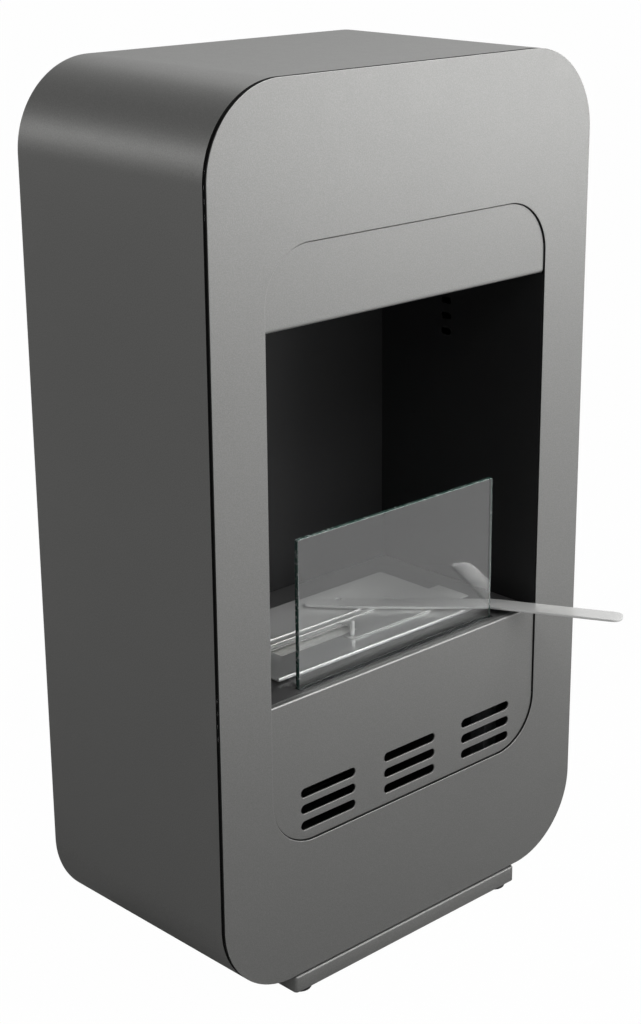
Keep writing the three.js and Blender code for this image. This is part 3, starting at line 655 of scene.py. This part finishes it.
class FIREPLACE_OT_shell(Operator):
    """Build the wrapped shell with its turned-in rear lip"""
    bl_idname = "fireplace.shell"
    bl_label = "Shell"

    def execute(self, context):
        sizes = context.scene.fireplace_sizes
        low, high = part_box("cabinet_shell")
        front, back = low.y - FRONT_Y, high.y - FRONT_Y
        lip_back = back - REAR_LIP_INSET
        lip_front = lip_back - SHELL_WALL
        corners = (
            (0, front), (0, back), (SHELL_WALL, back), (SHELL_WALL, lip_back), (REAR_LIP, lip_back),
            (REAR_LIP, lip_front), (SHELL_WALL, lip_front), (SHELL_WALL, front),
        )
        edge = sizes.sheet_edge
        radii = (edge, edge, edge, 0, edge, edge, 0, edge)
        section, curved = filleted(corners, radii, FILLET_STEPS)
        points, faces = carried(section, lambda inset: cabinet_loop(sizes, inset))
        wear = np.repeat(curved, len(points) // len(section))
        # The shell's front edge, inside the seam behind the front plate, is painted dark as seam
        # shade.
        wear = np.where(points[:, 2] < front + SEAM_SHADE_REACH_SHELL * edge, SEAM_SHADE, wear)
        points = points[:, (0, 2, 1)]
        make_piece("shell", "cabinet_shell", "shell_graphite", "cabinet", points, faces, wear)
        return {"FINISHED"}


class FIREPLACE_OT_front_plate(Operator):
    """Build the front plate, its window and the ring in the groove behind it"""
    bl_idname = "fireplace.front_plate"
    bl_label = "Front plate"

    def execute(self, context):
        sizes = context.scene.fireplace_sizes
        window = rounded_outline(
            -sizes.window_half, sizes.window_half, sizes.window_low, sizes.window_high,
            (sizes.window_radius,) * 4, sizes.corner_steps,
        )[::-1]
        thickness, edge = sizes.plate_thickness, sizes.plate_edge
        points, faces, wear = sheet_arrays(
            (cabinet_loop(sizes, 0), window), thickness, edge, PLATE_STEPS,
        )
        # The plate's sides and back, inside the seam, are painted dark as seam shade, and its front
        # rounding carries the painted highlight.
        seam_shaded = points[:, 2] < thickness - SEAM_SHADE_REACH_FRONT * edge
        make_piece(
            "front", "front_plate", "graphite", "cabinet", upright(points, thickness), faces,
            np.where(seam_shaded, SEAM_SHADE, FRONT_WEAR_AND_HIGHLIGHT * wear),
        )
        low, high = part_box("reveal_ring")
        inset = HEIGHT - (high.z - BASE_Z)
        loops = cabinet_loop(sizes, inset), cabinet_loop(sizes, inset + RING_WIDTH)[::-1]
        points, faces, wear = sheet_arrays(loops, high.y - low.y, RING_EDGE, RING_STEPS)
        # The ring in the groove is painted darker still than its matt black, as painted seam shade.
        make_piece(
            "groove_ring", "reveal_ring", "matt_black", "cabinet",
            upright(points, high.y - FRONT_Y), faces, np.full(len(wear), SEAM_SHADE),
        )
        return {"FINISHED"}


def panel_blank(sizes, node, bend, flange, flip):
    """A panel's flat blank: its outline, the z of its folded corner and the distance along the
    blank at which the bend ends. The bend takes up a quarter turn at the neutral radius."""
    low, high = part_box(node)
    corner_z = (low.z if flip > 0 else high.z) - BASE_Z
    neutral = bend - PANEL_SHEET / 2
    bend_end = flange - bend + neutral * math.pi / 2
    far = bend_end + (high.z - low.z) - bend
    r = sizes.window_radius - sizes.panel_gap
    outline = rounded_outline(low.x, high.x, 0, far, (0, 0, r, r), sizes.corner_steps)
    return outline, corner_z, bend_end


def air_slots(sizes, along_at):
    """Outlines of the lower panel's slots, three groups of three, on its flat blank."""
    loops = []
    for column in (-1, 0, 1):
        for row in (-1, 0, 1):
            x = column * sizes.slot_pitch_across
            along = along_at(sizes.slot_middle + row * sizes.slot_pitch_up)
            loops.append(obround(x, along, sizes.slot_length, sizes.slot_height, SLOT_STEPS))
    return loops


class FIREPLACE_OT_panels(Operator):
    """Build the two panels set back in the window, folded back at the fire opening"""
    bl_idname = "fireplace.panels"
    bl_label = "Inset panels"

    def execute(self, context):
        sizes = context.scene.fireplace_sizes
        for name, node, bend, flip in (
            ("panel_upper", "upper_panel", UPPER_BEND, 1),
            ("panel_lower", "lower_panel", LOWER_BEND, -1),
        ):
            low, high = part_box(node)
            flange = high.y - low.y
            outline, corner_z, bend_end = panel_blank(sizes, node, bend, flange, flip)
            loops = [outline]
            if flip < 0:
                loops += air_slots(sizes, lambda z: (corner_z - z) - bend + bend_end)
            points, faces, wear = sheet_arrays(loops, PANEL_SHEET, sizes.sheet_edge)
            points, faces, wear = folded(
                points, faces, PANEL_WEAR_AND_HIGHLIGHT * wear, bend, low.y - FRONT_Y, corner_z, PANEL_SHEET,
                flange, flip,
            )
            make_piece(name, node, "graphite", "cabinet", points, faces, wear)
        return {"FINISHED"}


class FIREPLACE_OT_glass(Operator):
    """Build the glass pane with its eased edges"""
    bl_idname = "fireplace.glass"
    bl_label = "Glass pane"

    def execute(self, context):
        low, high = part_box("glass_pane")
        thickness = high.y - low.y
        outline = rounded_outline(
            low.x, high.x, low.z - BASE_Z, high.z - BASE_Z, (GLASS_CORNER,) * 4, GLASS_CORNER_STEPS,
        )
        points, faces, wear = sheet_arrays((outline,), thickness, GLASS_EDGE)
        ground = (points[:, 2] > GLASS_FACE) & (points[:, 2] < thickness - GLASS_FACE)
        make_piece(
            "pane", "glass_pane", "clear_glass", "glass", upright(points, high.y - FRONT_Y), faces,
            np.where(ground, 1.0, wear),
        )
        return {"FINISHED"}


def eased(node, radius):
    """A frame node's shape with rounded edges. Its coplanar triangles are joined into whole faces,
    every sharp edge is bevelled to the radius, and points that lie on bevels alone are worn most
    and carry the brightest painted highlight."""
    shell = bmesh.new()
    shell.from_mesh(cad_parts[node].data)
    bmesh.ops.remove_doubles(shell, verts=shell.verts, dist=WELD)
    bmesh.ops.dissolve_limit(
        shell, angle_limit=COPLANAR, verts=shell.verts[:], edges=shell.edges[:],
    )
    sharp = [edge for edge in shell.edges if edge.calc_face_angle(0.0) > SHARP]
    bevels = set(bmesh.ops.bevel(
        shell, geom=sharp, offset=radius, offset_type="OFFSET", segments=BEVEL_STEPS, profile=0.5,
        affect="EDGES", clamp_overlap=True,
    )["faces"])
    wear = [
        1.0 if all(face in bevels for face in vert.link_faces) else EASED_FLAT_WEAR_AND_HIGHLIGHT
        for vert in shell.verts
    ]
    many_sided = [face for face in shell.faces if len(face.verts) > 4]
    bmesh.ops.triangulate(shell, faces=many_sided)
    points = np.array([vert.co[:] for vert in shell.verts])
    faces = [[vert.index for vert in face.verts] for face in shell.faces]
    shell.free()
    return points, faces, wear


def ease(piece, node, slot, body, radius):
    """Makes a piece of a frame node's shape with rounded edges."""
    make_piece(piece, node, slot, body, *eased(node, radius), place=False)


class FIREPLACE_OT_plinth(Operator):
    """Build the folded plinth, the feet, the back panel and the hearth plate with rounded edges"""
    bl_idname = "fireplace.plinth"
    bl_label = "Plinth, back and hearth"

    def execute(self, context):
        radius = context.scene.fireplace_sizes.eased
        ease("plinth_skirt", "plinth", "graphite", "cabinet", radius)
        ease("rear_cover", "back_panel", "shell_graphite", "cabinet", radius)
        ease("hearth", "hearth_plate", "dark_steel", "cabinet", radius)
        for corner in CORNERS:
            ease(f"foot_pad_{corner}", f"foot_{corner}", "rubber", "cabinet", 2 * radius)
        return {"FINISHED"}


def guide_strip(sizes):
    """Builds the strip that guides the lid: its front edge covers the lid, and a shallow channel
    runs between that and a raised rear edge."""
    low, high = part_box("guide_strip")
    width, height = high.y - low.y, high.z - low.z
    reach = sizes.guide_reach
    under = height - sizes.guide_cover
    floor = height - sizes.guide_channel
    wall, rear = reach + GUIDE_WALL, width - GUIDE_REAR
    corners = (
        (reach, 0), (width, 0), (width, height), (rear, height), (rear, floor), (wall, floor),
        (wall, height), (0, height), (0, under), (reach, under),
    )
    section, curved = filleted(corners, np.array(GUIDE_RADII) * MM, FILLET_STEPS)
    points, faces = drawn_out(section + (low.y, low.z), low.x, high.x)
    make_piece(
        "guide", "guide_strip", "polished_steel", "burner", points, faces, np.tile(curved, 2),
        place=False,
    )


class FIREPLACE_OT_burner(Operator):
    """Build the burner's plate, guide strip, lid, pin and tool with rounded edges"""
    bl_idname = "fireplace.burner"
    bl_label = "Burner"

    def execute(self, context):
        sizes = context.scene.fireplace_sizes
        for piece, node, body, ratio in (
            ("burner_plate", "burner_top", "burner", 1),
            ("sliding_lid", "burner_lid", "lid", LID_EASE),
            ("lid_knob", "lid_pin", "lid", 1),
            ("loose_tool", "lid_tool", "tool", 1),
        ):
            ease(piece, node, "polished_steel", body, ratio * sizes.eased)
        guide_strip(sizes)
        return {"FINISHED"}


# The finish of a frame node is the first whose words its name holds, so the panels' rails come
# before the panels. Fixings and brackets that match none are zinc.
FINISH_WORDS = (
    ("matt_black", ("firebox", "panel_rail", "reveal_ring", "spacer")),
    ("polished_steel", (
        "burner_top", "guide_strip", "burner_lid", "lid_pin", "lid_tool", "fuel_tank",
    )),
    ("shell_graphite", ("cabinet_shell", "back_panel")),
    ("graphite", ("front_plate", "upper_panel", "lower_panel", "plinth")),
    ("dark_steel", ("hearth_plate",)),
    ("ceramic_fibre", ("ceramic_fibre",)),
    ("clear_glass", ("glass_pane",)),
    ("rubber", tuple(f"foot_{corner}" for corner in CORNERS)),
)


class FIREPLACE_OT_finish_frame(Operator):
    """Give every frame node the finish of its slot"""
    bl_idname = "fireplace.finish_frame"
    bl_label = "Frame finishes"

    def execute(self, context):
        for name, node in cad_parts.items():
            found = (slot for slot, words in FINISH_WORDS if any(word in name for word in words))
            node.data.materials.clear()
            node.data.materials.append(finish_of(next(found, "zinc")))
        return {"FINISHED"}


# ---------- studio ----------
# Each lamp's place, the point it is aimed at, and its width and height.
LAMPS = {
    "key": ((1.8, -1.8, 0.8), (0.0, 0.0, 0.7), (1.4, 0.8)),
    "head": ((0.45, -1.0, 1.75), (0.0, -0.05, 0.85), (1.8, 0.4)),
    "top": ((1.0, 0.9, 2.4), (0.1, 0.0, 0.9), (1.8, 1.2)),
    "fill": ((-2.6, 0.3, 1.1), (0.0, 0.0, 0.8), (1.2, 1.0)),
    "rim": ((-1.9, 1.7, 1.4), (-0.26, 0.05, 0.9), (1.4, 0.35)),
}
WHITE = (1.0, 1.0, 1.0, 1.0)
FLOOR_GREY = (0.4, 0.4, 0.4, 1.0)
FLOOR_HALF = 12.0  # half the floor's width
MIRROR_NEAR, MIRROR_FAR = 0.6, 1.2  # between these, the floor's reflection fades up
MIRROR_LEAST = 0.03  # the floor's reflection close to the object
CAMERA_PLACE = (-1.38505, -1.3311, 1.1115)  # from the front plate's face and the underside
CAMERA_YAW = math.radians(44.803)
CAMERA_PITCH = math.radians(18.566)
CAMERA_LENS, CAMERA_SENSOR = 70.97, 36.0  # in millimetres
CAMERA_SHIFT = (-0.04678, -0.00527)
CAMERA_CLIP = (0.05, 60.0)


class FIREPLACE_OT_studio(Operator):
    """Set up the floor, the lamps, the world and the camera"""
    bl_idname = "fireplace.studio"
    bl_label = "Studio"

    def execute(self, context):
        scene = context.scene
        studio = scene.fireplace_studio
        build_floor(studio)
        build_world(scene, studio)
        for name, (place, aim, size) in LAMPS.items():
            add_lamp(name, place, aim, size, getattr(studio, name))
        add_camera(scene)
        scene.view_settings.view_transform = "Standard"
        return {"FINISHED"}


def seen_white(tree, rays):
    """1 for rays that come straight from the camera or through the glass, and 0 for others."""
    return maths(
        tree, "MAXIMUM", rays.outputs["Is Camera Ray"], rays.outputs["Is Transmission Ray"],
    )


def towards_right(tree, vector):
    """x less y of a place or direction, which grows to the right and the front."""
    part = put(tree, "SeparateXYZ", {0: vector})
    return maths(tree, "SUBTRACT", part.outputs[0], part.outputs[1])


def build_floor(studio):
    """A pale floor that shows nearly white to the camera and through the glass, so only a trace of
    the object's shade is left on it. In reflections it is dark close to the object, and farther
    out it is white on the right and darker to the left and the back."""
    half = FLOOR_HALF
    corners = [(-half, -half, 0), (half, -half, 0), (half, half, 0), (-half, half, 0)]
    mesh = bpy.data.meshes.new("floor")
    mesh.from_pydata(corners, [], [(0, 1, 2, 3)])
    floor = bpy.data.objects.new("floor", mesh)
    bpy.context.scene.collection.objects.link(floor)
    material, tree, at = start_material("studio_floor")
    diffuse = put(tree, "BsdfDiffuse", {"Color": FLOOR_GREY})
    white = put(tree, "Emission", {"Color": WHITE, "Strength": 1.0})
    rays = put(tree, "LightPath")
    seen = maths(tree, "MULTIPLY", seen_white(tree, rays), studio.floor_white)
    distance = put(tree, "VectorMath", {0: at}, operation="LENGTH").outputs["Value"]
    far = remap(tree, distance, MIRROR_NEAR, MIRROR_FAR, MIRROR_LEAST, 1.0)
    side = remap(tree, towards_right(tree, at), -1.2, 0.4, studio.side_dark, 1.0)
    mirrored = maths(tree, "MULTIPLY", rays.outputs["Is Glossy Ray"], studio.floor_mirrored)
    mirrored = maths(tree, "MULTIPLY", mirrored, maths(tree, "MULTIPLY", far, side))
    amount = maths(tree, "MAXIMUM", seen, mirrored)
    mix = put(tree, "MixShader", {0: amount, 1: diffuse.outputs[0], 2: white.outputs[0]})
    mesh.materials.append(close_material(material, mix))


def build_world(scene, studio):
    """A surround that is white to the camera and through the glass. In reflections it is white on
    the right and darker to the left and the back, and its soft light on the object is grey."""
    world = bpy.data.worlds.new("studio")
    world.use_nodes = True
    tree = world.node_tree
    tree.nodes.clear()
    rays = put(tree, "LightPath")
    direction = put(tree, "TexCoord").outputs["Generated"]
    side = remap(tree, towards_right(tree, direction), -1.0, 0.6, studio.side_dark, 1.0)
    glossy = maths(tree, "MULTIPLY", rays.outputs["Is Glossy Ray"], side)
    strength = remap(tree, seen_white(tree, rays), 0.0, 1.0, studio.ambient, 1.0)
    strength = maths(tree, "MAXIMUM", strength, glossy)
    back = put(tree, "Background", {"Color": WHITE, "Strength": strength})
    tree.links.new(back.outputs[0], put(tree, "OutputWorld").inputs[0])
    scene.world = world


def add_lamp(name, place, aim, size, power):
    """A rectangular lamp that points at a place on the object."""
    light = bpy.data.lights.new(name, "AREA")
    light.shape = "RECTANGLE"
    light.size, light.size_y = size
    light.energy = power
    lamp = bpy.data.objects.new(name, light)
    lamp.location = place
    lamp.rotation_mode = "QUATERNION"
    lamp.rotation_quaternion = (Vector(aim) - Vector(place)).to_track_quat("-Z", "Y")
    lamp.visible_camera = False
    bpy.context.scene.collection.objects.link(lamp)


def add_camera(scene):
    """The camera at the photograph's angle, distance and framing."""
    data = bpy.data.cameras.new("camera")
    data.lens, data.sensor_width, data.sensor_fit = CAMERA_LENS, CAMERA_SENSOR, "AUTO"
    data.shift_x, data.shift_y = CAMERA_SHIFT
    data.clip_start, data.clip_end = CAMERA_CLIP
    camera = bpy.data.objects.new("camera", data)
    x, y, z = CAMERA_PLACE
    camera.location = (x, y + FRONT_Y, z + BASE_Z)
    level = math.cos(CAMERA_PITCH)
    ahead = Vector((
        math.sin(CAMERA_YAW) * level, math.cos(CAMERA_YAW) * level, -math.sin(CAMERA_PITCH),
    ))
    camera.rotation_mode = "QUATERNION"
    camera.rotation_quaternion = ahead.to_track_quat("-Z", "Y")
    scene.collection.objects.link(camera)
    scene.camera = camera


# ---------- add-on ----------
class FIREPLACE_PT_panel(Panel):
    """Sizes, colours and one button for each piece"""
    bl_label = "Fireplace"
    bl_idname = "FIREPLACE_PT_panel"
    bl_space_type = "VIEW_3D"
    bl_region_type = "UI"
    bl_category = "Fireplace"

    def draw(self, context):
        scene = context.scene
        for group in (scene.fireplace_sizes, scene.fireplace_colours, scene.fireplace_studio):
            box = self.layout.box()
            for name in group.bl_rna.properties.keys():
                if name not in {"rna_type", "name"}:
                    box.prop(group, name)
        for operator in OPERATORS:
            self.layout.operator(operator.bl_idname)


OPERATORS = (
    FIREPLACE_OT_finish_frame, FIREPLACE_OT_shell, FIREPLACE_OT_front_plate, FIREPLACE_OT_panels,
    FIREPLACE_OT_glass, FIREPLACE_OT_plinth, FIREPLACE_OT_burner, FIREPLACE_OT_studio,
)
GROUPS = {
    "fireplace_sizes": FireplaceSizes, "fireplace_colours": FireplaceColours,
    "fireplace_studio": FireplaceStudio,
}


def register():
    """Registers the settings, the operators and the panel."""
    for group in GROUPS.values():
        bpy.utils.register_class(group)
    for name, group in GROUPS.items():
        setattr(bpy.types.Scene, name, PointerProperty(type=group))
    for operator in OPERATORS:
        bpy.utils.register_class(operator)
    bpy.utils.register_class(FIREPLACE_PT_panel)


def unregister():
    """Undoes register in reverse order."""
    bpy.utils.unregister_class(FIREPLACE_PT_panel)
    for operator in reversed(OPERATORS):
        bpy.utils.unregister_class(operator)
    for name in GROUPS:
        delattr(bpy.types.Scene, name)
    for group in reversed(tuple(GROUPS.values())):
        bpy.utils.unregister_class(group)


def main():
    register()
    for operator in OPERATORS:
        group, name = operator.bl_idname.split(".")
        getattr(getattr(bpy.ops, group), name)()


if __name__ == "__main__":
    main()
